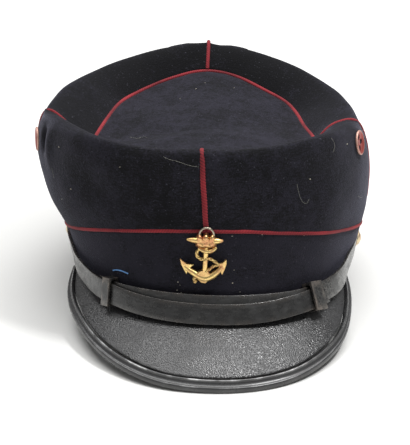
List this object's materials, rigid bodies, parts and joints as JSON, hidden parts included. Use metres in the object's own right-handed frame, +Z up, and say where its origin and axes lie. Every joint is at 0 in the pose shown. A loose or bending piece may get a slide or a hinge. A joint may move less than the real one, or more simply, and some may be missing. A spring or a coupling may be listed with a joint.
{
  "type": "kepi cap",
  "caption": "Soft wool kepi with a sunken top, piped seams, a drooping leather peak with a bound lip, a chin strap with loops and buttons, and an anchor badge",
  "frame": {"origin": "centre of the footprint, on the surface that the cap rests on", "axes": "+Z up from that surface, +Y towards the back of the cap, +X to the right of someone who faces the badge"},
  "size_m": [0.19, 0.2616, 0.1138],
  "materials": {
    "wool": "napped wool",
    "piping": "braided cord",
    "leather": "grained and polished",
    "brass": "gilt, slightly worn",
    "copper": "worn enamel on copper"
  },
  "bodies": {
    "root": {"band": "wool", "crown_front_left": "wool", "crown_front_right": "wool", "crown_back_left": "wool", "crown_back_right": "wool", "top_disc": "wool", "band_piping": "piping", "front_piping": "piping", "back_piping": "piping", "left_piping": "piping", "right_piping": "piping", "disc_piping": "piping", "peak": "leather", "peak_binding": "leather", "strap_left": "leather", "strap_right": "leather", "strap_loop_left": "leather", "strap_loop_right": "leather", "button_left": "brass", "button_right": "brass", "anchor_badge": "brass", "badge_ring": "brass", "vent_left": "copper", "vent_right": "copper"}
  },
  "joints": []
}
